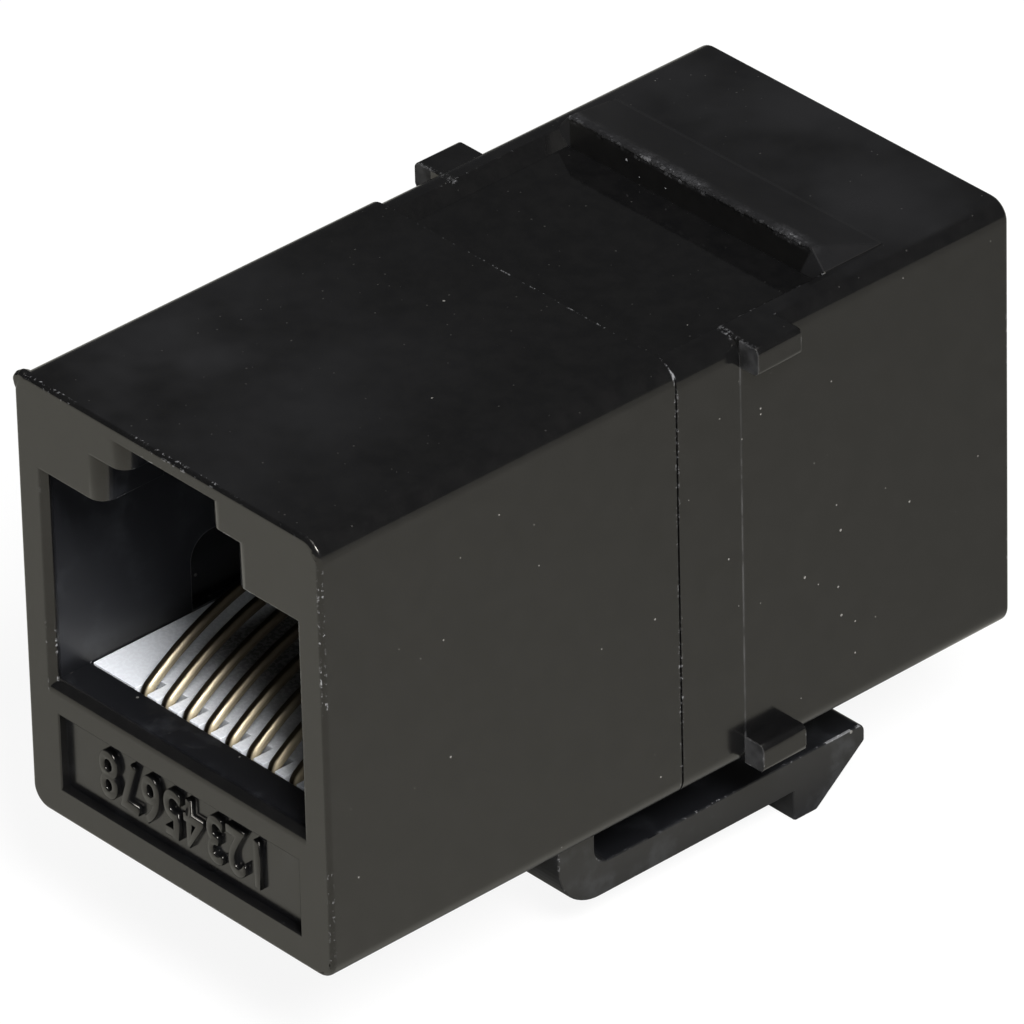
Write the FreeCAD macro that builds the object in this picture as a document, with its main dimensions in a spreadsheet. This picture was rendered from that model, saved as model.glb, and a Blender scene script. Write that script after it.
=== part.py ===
"""Inline coupler for network cables, made to snap into a panel: two housings, a latch, two white
contact carriers, sixteen spring wires and the small board that joins them.

Millimetres. X is the width, Y runs from the cable-side port to the panel-side port and Z is up.
The origin is at mid-width and mid-height, in the plane where the stop lugs meet the panel.
"""
import FreeCAD, Part
import math
import os
import re
import Sketcher

DRIVING_SIZES = {
    # Housings
    "housing_width": 14.5,
    "housing_height": 16.4,
    "corner_radius": 0.75,
    "edge_break": 0.12,
    "cable_length": 15.0,
    "neck_length": 2.8,
    "seam_gap": 0.08,
    "seam_depth": 0.25,
    "panel_reach": 9.95,
    "panel_top_drop": 0.2,
    "base_wall": 1.3,
    # Plug-in joint between the housings
    "spigot_length": 1.4,
    "socket_wall": 0.7,
    "fit_clearance": 0.05,
    # Port, the same at both ends
    "roof_wall": 0.52,
    "port_width": 11.9,
    "port_height": 7.95,
    "wide_slot": 6.2,
    "wide_rise": 1.68,
    "narrow_slot": 3.9,
    "narrow_rise": 1.05,
    "slot_depth": 6.0,
    "slot_round": 0.6,
    "shoulder_depth": 2.6,
    "sill_depth": 1.6,
    "sill_round": 0.45,
    "lead_in": 0.22,
    "window_start": 5.95,
    "window_length": 3.5,
    "window_rise": 2.7,
    "window_round": 0.9,
    "window_depth": 0.35,
    # Recessed field below the port
    "label_width": 11.5,
    "label_height": 2.85,
    "label_depth": 0.32,
    # Stop lugs, trough and ridge on the panel side
    "lug_length": 1.9,
    "lug_reach": 0.85,
    "lug_height": 1.02,
    "lug_inset": 0.08,
    "lug_root": 1.2,
    "lug_round": 0.25,
    "trough_depth": 0.45,
    "rail_width": 1.0,
    "rail_slope": 0.5,
    "ridge_start": 2.7,
    "ridge_rise": 0.7,
    "ridge_width": 11.4,
    "ridge_draft": 0.6,
    "ridge_ramp": 2.4,
    "ridge_crest": 0.25,
    # Latch below the body
    "latch_width": 11.5,
    "latch_gap": 2.1,
    "latch_thickness": 1.25,
    "latch_root": 4.05,
    "latch_tip": 4.74,
    "panel_thickness": 1.53,
    "hook_depth": 1.15,
    "hook_flat": 1.05,
    "hook_round": 0.15,
    "tip_height": 0.68,
    "tip_round": 0.3,
    "hinge_clearance": 0.05,
    "latch_relief": 0.25,
    # Contact carriers and board
    "plate_thickness": 0.7,
    "carrier_clearance": 0.05,
    "bay_depth": 10.8,
    "block_foot": 2.2,
    "comb_depth": 1.2,
    "comb_base": 1.4,
    "comb_height": 2.4,
    "board_thickness": 1.6,
    "board_clearance": 0.03,
    # Spring wires
    "contact_count": 8,
    "contact_pitch": 1.02,
    "wire_diameter": 0.42,
    "wire_clearance": 0.06,
    "nose_radius": 0.42,
    "rise_angle": 37.0,
    "rise_radius": 12.0,
    "tip_angle": 5.0,
    "tail_height": 0.66,
    "tail_radius": 0.5,
    "tail_angle": 60.0,
    "tail_recess": 0.1,
}

# Planes along Y
CABLE_FACE = "(-lug_length - neck_length - cable_length)"
SEAM = "(-lug_length - neck_length)"
MIDDLE = "((panel_reach - lug_length - neck_length - cable_length) / 2)"
# Heights along Z
BOTTOM = "(-housing_height / 2)"
TOP = "(housing_height / 2)"
PANEL_TOP = "(housing_height / 2 - panel_top_drop)"
TROUGH_FLOOR = "(housing_height / 2 - panel_top_drop - trough_depth)"
CAVITY_FLOOR = "(-housing_height / 2 + base_wall)"
SLOT_TOP = "(housing_height / 2 - roof_wall)"
CEILING = "(housing_height / 2 - roof_wall - narrow_rise)"
SHOULDER = "(housing_height / 2 - roof_wall - narrow_rise - wide_rise)"
PORT_FLOOR = "(housing_height / 2 - roof_wall - narrow_rise - wide_rise - port_height)"
ARM_TOP = "(-housing_height / 2 - latch_gap)"
ARM_MIDDLE = "(-housing_height / 2 - latch_gap - latch_thickness / 2)"
ARM_BOTTOM = "(-housing_height / 2 - latch_gap - latch_thickness)"
# Latch root along Y
POST_NEAR = "(-lug_length - neck_length - latch_root)"
HINGE = "(-lug_length - neck_length - latch_root + latch_thickness / 2)"

doc = FreeCAD.newDocument("Coupler")
sheet = doc.addObject("Spreadsheet::Sheet", "Sizes")
for row, (size_name, size) in enumerate(DRIVING_SIZES.items(), start=1):
    sheet.set("A%d" % row, size_name)
    sheet.set("B%d" % row, str(size))
    sheet.setAlias("B%d" % row, size_name)
doc.recompute()


def bound(formula):
    """The formula as a document expression, with each size read from the sheet."""
    return re.sub(r"[a-z]+(?:_[a-z]+)+", lambda match: "Sizes." + match.group(0), formula)


def value(formula):
    """The formula's present value."""
    return float(sheet.evalExpression(bound(formula)))


def new_body(name):
    body = doc.addObject("PartDesign::Body", name)
    body.Label = name
    return body


def origin_feature(body, role):
    return next(feature for feature in body.Origin.OriginFeatures if feature.Role == role)


def new_sketch(body, name, plane, offset="0"):
    """A sketch on one of the body's own planes, moved along that plane's normal."""
    sketch = body.newObject("Sketcher::SketchObject", name)
    sketch.AttachmentSupport = [(origin_feature(body, plane), "")]
    sketch.MapMode = "FlatFace"
    sketch.setExpression("AttachmentOffset.Base.z", bound(offset))
    return sketch


def across(body, name, y):
    """A sketch in X and Z at the depth y. Its normal points along -Y."""
    return new_sketch(body, name, "XZ_Plane", "-(%s)" % y)


def along(body, name):
    """A sketch in Y and Z at mid-width."""
    return new_sketch(body, name, "YZ_Plane")


def level(body, name, z):
    """A sketch in X and Y at the height z."""
    return new_sketch(body, name, "XY_Plane", z)


def tie(sketch, geometry, point, u, v):
    """Ties a point of the sketch to its two coordinates."""
    for kind, formula in (("DistanceX", u), ("DistanceY", v)):
        rule = Sketcher.Constraint(kind, -1, 1, geometry, point, value(formula))
        index = sketch.addConstraint(rule)
        sketch.setExpression("Constraints[%d]" % index, bound(formula))


def tie_radius(sketch, geometry, radius):
    index = sketch.addConstraint(Sketcher.Constraint("Radius", geometry, value(radius)))
    sketch.setExpression("Constraints[%d]" % index, bound(radius))


def add_arc(sketch, start, end, radius, turn):
    """An arc of less than half a turn, to the left (1) or to the right (-1) on its way to end."""
    chord = end - start
    rise = math.sqrt(max(radius ** 2 - (chord.Length / 2) ** 2, 0.0))
    sideways = FreeCAD.Vector(-chord.y, chord.x, 0).normalize()
    centre = (start + end) / 2 + sideways * rise * turn
    first, last = (start, end) if turn > 0 else (end, start)
    angles = [math.atan2(p.y - centre.y, p.x - centre.x) for p in (first, last)]
    circle = Part.Circle(centre, FreeCAD.Vector(0, 0, 1), radius)
    return sketch.addGeometry(Part.ArcOfCircle(circle, angles[0], angles[1]))


def draw(sketch, corners, closed=True):
    """Draws the outline through the corners. A corner (u, v) is followed by a straight line, and a
    corner (u, v, radius, turn) by an arc that turns left (1) or right (-1)."""
    points = [FreeCAD.Vector(value(corner[0]), value(corner[1]), 0) for corner in corners]
    count = len(corners)
    runs = []
    for i in range(count if closed else count - 1):
        start, end = points[i], points[(i + 1) % count]
        if len(corners[i]) == 2:
            runs.append((sketch.addGeometry(Part.LineSegment(start, end)), 1, 2))
            continue
        radius, turn = corners[i][2:]
        geometry = add_arc(sketch, start, end, value(radius), turn)
        tie_radius(sketch, geometry, radius)
        runs.append((geometry, 1, 2) if turn > 0 else (geometry, 2, 1))
    for i, (geometry, start, end) in enumerate(runs):
        tie(sketch, geometry, start, *corners[i][:2])
        if closed or i + 1 < len(runs):
            following = runs[(i + 1) % len(runs)]
            rule = Sketcher.Constraint("Coincident", geometry, end, following[0], following[1])
            sketch.addConstraint(rule)
    if not closed:
        tie(sketch, runs[-1][0], runs[-1][2], *corners[-1][:2])


def rectangle(sketch, low_u, high_u, low_v, high_v):
    draw(sketch, [(low_u, low_v), (high_u, low_v), (high_u, high_v), (low_u, high_v)])


def centred(sketch, width, low_v, high_v):
    """A rectangle of the given width about the middle of the part."""
    rectangle(sketch, "-(%s) / 2" % width, "(%s) / 2" % width, low_v, high_v)


def rounded(sketch, width, low_v, high_v, radius):
    """A rectangle with round corners about the middle of the part."""
    half = "(%s) / 2" % width
    flat = "((%s) / 2 - %s)" % (width, radius)
    low_end = "%s + %s" % (low_v, radius)
    high_end = "%s - %s" % (high_v, radius)
    draw(sketch, [("-" + flat, low_v), (flat, low_v, radius, 1),
                  (half, low_end), (half, high_end, radius, 1),
                  (flat, high_v), ("-" + flat, high_v, radius, 1),
                  ("-" + half, high_end), ("-" + half, low_end, radius, 1)])


def circle(sketch, u, v, radius):
    centre = FreeCAD.Vector(value(u), value(v), 0)
    shape = Part.Circle(centre, FreeCAD.Vector(0, 0, 1), value(radius))
    geometry = sketch.addGeometry(shape)
    tie(sketch, geometry, 3, u, v)
    tie_radius(sketch, geometry, radius)


def octagon(sketch, u, v, width):
    """An eight-sided section about (u, v), measured across its flats."""
    reach = "(%s) / (2 * cos(22.5))" % width
    turns = [22.5 + 45 * i for i in range(8)]
    draw(sketch, [("%s + %s * cos(%s)" % (u, reach, turn), "%s + %s * sin(%s)" % (v, reach, turn))
                  for turn in turns])


def extrude(body, sketch, kind, length=None, reverse=False, midplane=False):
    """Pads or pockets the sketch. A pocket without a length goes right through. A pocket that cuts
    nothing stops the build."""
    before = body.Shape.Volume if body.Tip else 0.0
    feature = body.newObject("PartDesign::" + kind, sketch.Name + "_" + kind.lower())
    feature.Profile = sketch
    feature.Reversed = reverse
    if midplane:
        feature.SideType = "Symmetric"
    if length is None:
        feature.Type = "ThroughAll"
    else:
        feature.setExpression("Length", bound(length))
    doc.recompute()
    changed = body.Shape.Volume - before
    if (changed <= 0) if kind == "Pad" else (changed >= 0):
        raise RuntimeError("%s changed the volume by %.3f" % (feature.Name, changed))
    return feature


def pad(body, sketch, length, reverse=False, midplane=False):
    return extrude(body, sketch, "Pad", length, reverse, midplane)


def pocket(body, sketch, length=None, reverse=False, midplane=False):
    return extrude(body, sketch, "Pocket", length, reverse, midplane)


def dress(body, kind, name, size_property, size, wanted):
    """Puts a fillet or chamfer on the edges of the body's present shape that the test picks."""
    base = body.Tip
    picked = ["Edge%d" % (i + 1) for i, edge in enumerate(base.Shape.Edges) if wanted(edge)]
    feature = body.newObject("PartDesign::" + kind, name)
    feature.Base = (base, picked)
    feature.setExpression(size_property, bound(size))
    doc.recompute()


def in_plane(edge, y):
    """True for an edge that lies in the plane across the part at the depth y."""
    return all(abs(vertex.Point.y - value(y)) < 1e-6 for vertex in edge.Vertexes)


def lengthwise(edge):
    """True for an edge that runs straight along Y."""
    depths = [vertex.Point.y for vertex in edge.Vertexes]
    return max(depths) - min(depths) > 0.999 * edge.Length


def add_port(body, prefix, face, inward):
    """Cuts a port into the face at the depth face. Inward is +1 where it goes along +Y."""
    flip = inward < 0

    def depth(formula):
        return "%s + %d * (%s)" % (face, inward, formula)

    mouth = across(body, prefix + "_mouth", face)
    half_steps = [("port_width / 2", PORT_FLOOR), ("port_width / 2", SHOULDER),
                  ("wide_slot / 2", SHOULDER), ("wide_slot / 2", CEILING),
                  ("narrow_slot / 2", CEILING), ("narrow_slot / 2", SLOT_TOP)]
    mirrored = [("-" + u, v) for u, v in reversed(half_steps)]
    draw(mouth, half_steps + mirrored)
    pocket(body, mouth, "shoulder_depth", flip)

    slot = across(body, prefix + "_slot", face)
    centred(slot, "narrow_slot", SHOULDER, SLOT_TOP)
    pocket(body, slot, "slot_depth", flip)

    bay = across(body, prefix + "_bay", depth("shoulder_depth"))
    centred(bay, "port_width", PORT_FLOOR, CEILING)
    pocket(body, bay, None, flip)

    carrier_bay = across(body, prefix + "_carrier_bay", depth("sill_depth"))
    centred(carrier_bay, "port_width", CAVITY_FLOOR, SHOULDER)
    pocket(body, carrier_bay, None, flip)

    flare = level(body, prefix + "_flare", PORT_FLOOR)
    draw(flare, [("-port_width / 2 - lead_in", face), ("port_width / 2 + lead_in", face),
                 ("port_width / 2", depth("lead_in")), ("-port_width / 2", depth("lead_in"))])
    pocket(body, flare, "port_height", True)

    for part_of_slot, width, low, rise in (("wide", "wide_slot", SHOULDER, "wide_rise"),
                                           ("narrow", "narrow_slot", CEILING, "narrow_rise")):
        rounds = level(body, "%s_%s_rounds" % (prefix, part_of_slot), low)
        draw(rounds, [("-%s / 2 - slot_round" % width, face, "slot_round", inward),
                      ("-%s / 2" % width, depth("slot_round")),
                      ("%s / 2" % width, depth("slot_round"), "slot_round", inward),
                      ("%s / 2 + slot_round" % width, face)])
        pocket(body, rounds, rise, True)

    sill = along(body, prefix + "_sill")
    draw(sill, [(face, "%s - sill_round" % PORT_FLOOR, "sill_round", -inward),
                (depth("sill_round"), PORT_FLOOR), (face, PORT_FLOOR)])
    pocket(body, sill, "port_width + 2 * lead_in", False, True)
    cheeks = level(body, prefix + "_cheeks", PORT_FLOOR)
    for side in ("-", ""):
        inner = side + "(port_width / 2)"
        outer = side + "(port_width / 2 + lead_in)"
        draw(cheeks, [(outer, face), (inner, depth("lead_in")),
                      (inner, depth("sill_round")), (outer, depth("sill_round"))])
    pad(body, cheeks, "sill_round", True)

    window = along(body, prefix + "_window")
    window_top = "%s + window_rise" % PORT_FLOOR
    draw(window, [(depth("window_start"), PORT_FLOOR),
                  (depth("window_start"), "%s - window_round" % window_top, "window_round", -inward),
                  (depth("window_start + window_round"), window_top),
                  (depth("window_start + window_length"), window_top),
                  (depth("window_start + window_length"), PORT_FLOOR)])
    pocket(body, window, "port_width + 2 * window_depth", False, True)

    label = across(body, prefix + "_label", face)
    label_low = "(%s + %s - label_height) / 2" % (BOTTOM, PORT_FLOOR)
    centred(label, "label_width", label_low, "%s + label_height" % label_low)
    pocket(body, label, "label_depth", flip)


def cable_side_housing():
    """Near half: a rounded box with the port, a socket at the seam and the latch's post."""
    body = new_body("cable_side_housing")
    section = across(body, "cable_section", SEAM)
    rounded(section, "housing_width", BOTTOM, TOP, "corner_radius")
    pad(body, section, "cable_length")
    dress(body, "Chamfer", "cable_edges", "Size", "edge_break",
          lambda edge: in_plane(edge, CABLE_FACE))

    post = along(body, "latch_post")
    far_side = POST_NEAR + " + latch_thickness"
    draw(post, [(POST_NEAR, ARM_MIDDLE), (HINGE, ARM_MIDDLE), (HINGE, ARM_TOP + " + hinge_clearance"),
                (far_side, ARM_TOP + " + latch_relief"), (far_side, BOTTOM + " + base_wall / 2"),
                (POST_NEAR, BOTTOM + " + base_wall / 2")])
    pad(body, post, "latch_width", False, True)
    seat = along(body, "latch_seat")
    circle(seat, HINGE, ARM_MIDDLE, "latch_thickness / 2 + hinge_clearance")
    pocket(body, seat, "latch_width", False, True)

    add_port(body, "cable_port", CABLE_FACE, 1)
    socket = across(body, "cable_socket", SEAM)
    centred(socket, "housing_width - 2 * socket_wall", BOTTOM + " + socket_wall", TOP + " - socket_wall")
    pocket(body, socket, "spigot_length + fit_clearance", True)
    return body


def panel_side_housing():
    """Far half: a rounded box with a spigot, stop lugs, a railed trough and the fixed ridge."""
    body = new_body("panel_side_housing")
    section = across(body, "panel_section", SEAM + " + seam_gap")
    rounded(section, "housing_width", BOTTOM, PANEL_TOP, "corner_radius")
    pad(body, section, "panel_reach + lug_length + neck_length - seam_gap", True)
    dress(body, "Chamfer", "panel_edges", "Size", "edge_break",
          lambda edge: in_plane(edge, "panel_reach * 1"))

    land = across(body, "seam_land", SEAM + " + seam_gap")
    rounded(land, "housing_width - 2 * seam_depth", BOTTOM + " + seam_depth",
            PANEL_TOP + " - seam_depth", "corner_radius")
    pad(body, land, "seam_gap")

    spigot = across(body, "spigot_section", SEAM)
    centred(spigot, "housing_width - 2 * socket_wall - 2 * fit_clearance",
            BOTTOM + " + socket_wall + fit_clearance", TOP + " - socket_wall - fit_clearance")
    pad(body, spigot, "spigot_length")

    lugs = across(body, "stop_lugs", "0 * lug_length")
    for side in ("-", ""):
        inner = side + "(housing_width / 2 - lug_root)"
        outer = side + "(housing_width / 2 + lug_reach)"
        low_x, high_x = (outer, inner) if side else (inner, outer)
        rectangle(lugs, low_x, high_x, BOTTOM + " + lug_inset", BOTTOM + " + lug_inset + lug_height")
        rectangle(lugs, low_x, high_x, PANEL_TOP + " - lug_inset - lug_height", PANEL_TOP + " - lug_inset")
    pad(body, lugs, "lug_length")
    beside = value("housing_width / 2 + lug_reach / 2")
    dress(body, "Fillet", "lug_rounds", "Radius", "lug_round",
          lambda edge: lengthwise(edge) and abs(edge.CenterOfMass.x) > beside)

    trough = across(body, "rail_trough", SEAM)
    top_half = "(housing_width / 2 - rail_width)"
    floor_half = "(housing_width / 2 - rail_width - rail_slope)"
    draw(trough, [("-" + floor_half, TROUGH_FLOOR), (floor_half, TROUGH_FLOOR),
                  (top_half, PANEL_TOP), ("-" + top_half, PANEL_TOP)])
    pocket(body, trough, "neck_length + lug_length + ridge_start")

    ridge = along(body, "fixed_ridge")
    crest = PANEL_TOP + " + ridge_rise"
    ramp_end = "ridge_start + ridge_crest + ridge_ramp"
    draw(ridge, [("ridge_start", TROUGH_FLOOR), (ramp_end, TROUGH_FLOOR),
                 (ramp_end, PANEL_TOP), ("ridge_start + ridge_crest", crest), ("ridge_start", crest)])
    pad(body, ridge, "ridge_width + 2 * ridge_draft", False, True)
    ends = across(body, "ridge_ends", "ridge_start")
    for side in ("-", ""):
        crest_end = side + "(ridge_width / 2)"
        foot = side + "(ridge_width / 2 + ridge_draft)"
        draw(ends, [(crest_end, crest), (foot, crest), (foot, PANEL_TOP)])
    pocket(body, ends, "ridge_crest + ridge_ramp")

    add_port(body, "panel_port", "panel_reach", -1)
    return body


def panel_latch():
    """Sprung arm with a round root in the post's seat and a hook that catches behind the panel."""
    body = new_body("panel_latch")
    arm = along(body, "latch_arm")
    half = "latch_thickness / 2"
    ramp = "(latch_tip - panel_thickness - hook_flat) / (latch_thickness + hook_depth - tip_height)"
    draw(arm, [("%s - %s" % (HINGE, half), ARM_MIDDLE, half, 1), (HINGE, ARM_BOTTOM),
               ("latch_tip - (latch_thickness - tip_height) * %s" % ramp, ARM_BOTTOM),
               ("latch_tip", "%s - tip_height" % ARM_TOP),
               ("latch_tip", "%s - tip_round" % ARM_TOP, "tip_round", 1),
               ("latch_tip - tip_round", ARM_TOP), (HINGE, ARM_TOP, half, 1)])
    pad(body, arm, "latch_width", False, True)

    hook = along(body, "latch_hook")
    hook_bottom = ARM_BOTTOM + " - hook_depth"
    draw(hook, [("panel_thickness", ARM_MIDDLE),
                ("panel_thickness", hook_bottom + " + hook_round", "hook_round", 1),
                ("panel_thickness + hook_round", hook_bottom),
                ("panel_thickness + hook_flat", hook_bottom),
                ("latch_tip", "%s - tip_height" % ARM_TOP), ("latch_tip", ARM_MIDDLE)])
    pad(body, hook, "latch_width", False, True)
    return body


# Carriers, board and wires are drawn for the cable side. On the panel side the same piece is turned
# by half a turn about the vertical line at mid-length.
CARRIER_FRONT = CABLE_FACE + " + sill_depth + carrier_clearance"
BOARD_NEAR = MIDDLE + " - board_thickness / 2"
CARRIER_REAR = MIDDLE + " - board_thickness / 2 - board_clearance"
BAY_BACK = CABLE_FACE + " + bay_depth"
PLATE_BOTTOM = PORT_FLOOR + " - plate_thickness"
BLOCK_TOP = CEILING + " - carrier_clearance"
NOSE_Y = CABLE_FACE + " + sill_depth + carrier_clearance + wire_diameter / 2 + nose_radius"
SLOT_WIDTH = "(wire_diameter + 2 * wire_clearance)"
UPPER_TAIL = PLATE_BOTTOM
LOWER_TAIL = CAVITY_FLOOR + " + tail_height"
ROW_GAP = "(%s - (%s))" % (UPPER_TAIL, LOWER_TAIL)


def place(body, turned, x="0 * contact_pitch"):
    """Moves a piece sideways to x, and turns it to the panel side if asked."""
    sign = "-" if turned else ""
    if turned:
        body.Placement = FreeCAD.Placement(FreeCAD.Vector(), FreeCAD.Rotation(180, 0, 0))
        body.setExpression("Placement.Base.y", bound("2 * " + MIDDLE))
    body.setExpression("Placement.Base.x", bound("%s(%s)" % (sign, x)))


def repeat_across(body, feature):
    """Repeats a cut for every contact, side by side across the width."""
    pattern = body.newObject("PartDesign::LinearPattern", feature.Name + "_row")
    pattern.Originals = [feature]
    pattern.Direction = (origin_feature(body, "X_Axis"), [""])
    pattern.setExpression("Length", bound("contact_pitch * (contact_count - 1)"))
    pattern.setExpression("Occurrences", bound("contact_count * 1"))
    body.Tip = pattern
    doc.recompute()


def carrier(name, turned):
    """White carrier: the plate below the wires, a slotted foot and a comb for the wires' tips."""
    body = new_body(name)
    profile = along(body, name + "_profile")
    foot = BAY_BACK + " - block_foot"
    low = CAVITY_FLOOR + " + carrier_clearance"
    draw(profile, [(CARRIER_FRONT, PLATE_BOTTOM), (foot, PLATE_BOTTOM), (foot, low), (CARRIER_REAR, low),
                   (CARRIER_REAR, BLOCK_TOP), (BAY_BACK, BLOCK_TOP), (BAY_BACK, PORT_FLOOR),
                   (CARRIER_FRONT, PORT_FLOOR)])
    pad(body, profile, "port_width - 2 * carrier_clearance", False, True)

    first = "-contact_pitch * (contact_count - 1) / 2"
    left = "%s - %s / 2" % (first, SLOT_WIDTH)
    right = "%s + %s / 2" % (first, SLOT_WIDTH)
    wire_top = UPPER_TAIL + " + wire_diameter / 2 + wire_clearance"

    groove = across(body, name + "_groove", CARRIER_FRONT)
    rectangle(groove, left, right, low, wire_top)
    repeat_across(body, pocket(body, groove))

    notch = level(body, name + "_notch", PLATE_BOTTOM)
    rectangle(notch, left, right, CARRIER_FRONT, NOSE_Y + " + wire_diameter / 2")
    repeat_across(body, pocket(body, notch, "plate_thickness", True))

    comb = across(body, name + "_comb", BAY_BACK)
    comb_low = PORT_FLOOR + " + comb_base"
    rectangle(comb, left, right, comb_low, comb_low + " + comb_height")
    repeat_across(body, pocket(body, comb, "comb_depth"))
    place(body, turned)
    return body


def circuit_board():
    """Board between the carriers, with a plated hole for the tail of every wire."""
    body = new_body("circuit_board")
    blank = across(body, "board_blank", BOARD_NEAR)
    low = CAVITY_FLOOR + " + carrier_clearance"
    centred(blank, "port_width - 2 * carrier_clearance", low, BLOCK_TOP)
    pad(body, blank, "board_thickness", True)
    holes = across(body, "board_holes", BOARD_NEAR)
    for tail in (UPPER_TAIL, LOWER_TAIL):
        octagon(holes, "-contact_pitch * (contact_count - 1) / 2", tail, SLOT_WIDTH)
    repeat_across(body, pocket(body, holes, "board_thickness"))
    return body


def wire_path(lower):
    """Centre line of a wire: from its tail in the board, forward below the plate, round the nose and
    back up in a long bow to its tip in the comb. A lower tail steps up before the plate."""
    nose_bottom = UPPER_TAIL
    rise_y = "%s - nose_radius * sin(rise_angle)" % NOSE_Y
    rise_z = "%s + nose_radius * (1 + cos(rise_angle))" % nose_bottom
    bow_y = "%s + rise_radius * (sin(rise_angle) - sin(tip_angle))" % rise_y
    bow_z = "%s + rise_radius * (cos(tip_angle) - cos(rise_angle))" % rise_z
    tip_y = "%s + comb_depth / 2" % BAY_BACK
    tip_z = "%s + (%s - (%s)) * tan(tip_angle)" % (bow_z, tip_y, bow_y)
    tail_y = MIDDLE + " + board_thickness / 2 - tail_recess"
    path = [(tail_y, LOWER_TAIL if lower else UPPER_TAIL)]
    if lower:
        bend_y = "tail_radius * sin(tail_angle)"
        bend_z = "tail_radius * (1 - cos(tail_angle))"
        run = "(%s - 2 * %s)" % (ROW_GAP, bend_z)
        start = CARRIER_REAR + " - tail_radius"
        path += [(start, LOWER_TAIL, "tail_radius", -1),
                 ("%s - %s" % (start, bend_y), "%s + %s" % (LOWER_TAIL, bend_z)),
                 ("%s - %s - %s / tan(tail_angle)" % (start, bend_y, run),
                  "%s - %s" % (UPPER_TAIL, bend_z), "tail_radius", 1),
                 ("%s - 2 * %s - %s / tan(tail_angle)" % (start, bend_y, run), UPPER_TAIL)]
    path += [(NOSE_Y, nose_bottom, "nose_radius", -1), (rise_y, rise_z, "rise_radius", -1),
             (bow_y, bow_z), (tip_y, tip_z)]
    return path


def contact(name, number, turned):
    """One spring wire. Every other tail uses the lower row of holes, so that the wires of the two
    ports never share a hole."""
    lower = number % 2 == 0
    body = new_body(name)
    path = along(body, name + "_path")
    draw(path, wire_path(lower), closed=False)
    section = across(body, name + "_section", wire_path(lower)[0][0])
    octagon(section, "0 * contact_pitch", LOWER_TAIL if lower else UPPER_TAIL, "wire_diameter")
    doc.recompute()
    pipe = body.newObject("PartDesign::AdditivePipe", name + "_wire")
    pipe.Profile = section
    pipe.Spine = (path, ["Edge%d" % (i + 1) for i in range(path.GeometryCount)])
    place(body, turned, "contact_pitch * (%d - (contact_count + 1) / 2)" % number)
    return body


def main():
    pieces = [cable_side_housing(), panel_side_housing(), panel_latch()]
    pieces += [carrier("cable_side_carrier", False), carrier("panel_side_carrier", True), circuit_board()]
    for number in range(1, int(value("contact_count * 1")) + 1):
        pieces.append(contact("cable_side_contact_%d" % number, number, False))
        pieces.append(contact("panel_side_contact_%d" % number, number, True))
    doc.recompute()

    for item in doc.Objects:
        if "Invalid" in item.State or "Error" in item.State:
            raise RuntimeError("%s failed: %s" % (item.Name, item.State))
    for piece in pieces:
        if piece.Shape.isNull() or not piece.Shape.isValid() or len(piece.Shape.Solids) != 1:
            raise RuntimeError("%s is not one valid solid" % piece.Label)
    os.makedirs("parts", exist_ok=True)
    for piece in pieces:
        piece.Shape.exportStep("parts/%s.step" % piece.Label)
        print("%-24s %9.3f mm3" % (piece.Label, piece.Shape.Volume))


main()
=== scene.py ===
"""Looks of the inline network coupler: finishes, edges, the one-piece latch, raised pin numbers, light and camera."""
import bmesh
import bpy
import math
import random
from mathutils import Matrix, Vector, noise


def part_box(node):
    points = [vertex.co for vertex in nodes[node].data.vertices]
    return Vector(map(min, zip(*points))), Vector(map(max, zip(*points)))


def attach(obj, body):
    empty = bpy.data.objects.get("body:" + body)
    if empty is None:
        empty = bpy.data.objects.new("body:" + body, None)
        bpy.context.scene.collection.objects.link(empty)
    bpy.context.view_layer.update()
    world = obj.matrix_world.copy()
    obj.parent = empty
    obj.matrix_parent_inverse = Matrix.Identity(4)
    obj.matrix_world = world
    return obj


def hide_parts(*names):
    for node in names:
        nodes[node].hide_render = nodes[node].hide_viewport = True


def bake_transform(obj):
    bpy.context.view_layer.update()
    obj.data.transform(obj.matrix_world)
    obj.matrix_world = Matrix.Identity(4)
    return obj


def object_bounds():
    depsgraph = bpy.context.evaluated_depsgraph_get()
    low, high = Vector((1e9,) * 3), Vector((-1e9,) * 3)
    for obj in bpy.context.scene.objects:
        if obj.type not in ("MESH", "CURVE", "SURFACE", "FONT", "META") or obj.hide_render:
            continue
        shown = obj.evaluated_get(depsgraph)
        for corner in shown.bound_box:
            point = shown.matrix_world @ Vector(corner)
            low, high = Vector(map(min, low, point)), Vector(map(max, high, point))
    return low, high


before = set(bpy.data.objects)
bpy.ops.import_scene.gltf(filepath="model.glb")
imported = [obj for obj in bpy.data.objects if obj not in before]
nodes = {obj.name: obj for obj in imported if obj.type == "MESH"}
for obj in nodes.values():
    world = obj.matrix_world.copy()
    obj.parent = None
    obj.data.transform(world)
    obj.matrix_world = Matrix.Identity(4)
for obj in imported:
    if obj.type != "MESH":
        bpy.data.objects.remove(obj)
cad_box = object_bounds()

MM = 0.001

# Places on the part, in millimetres

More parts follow.
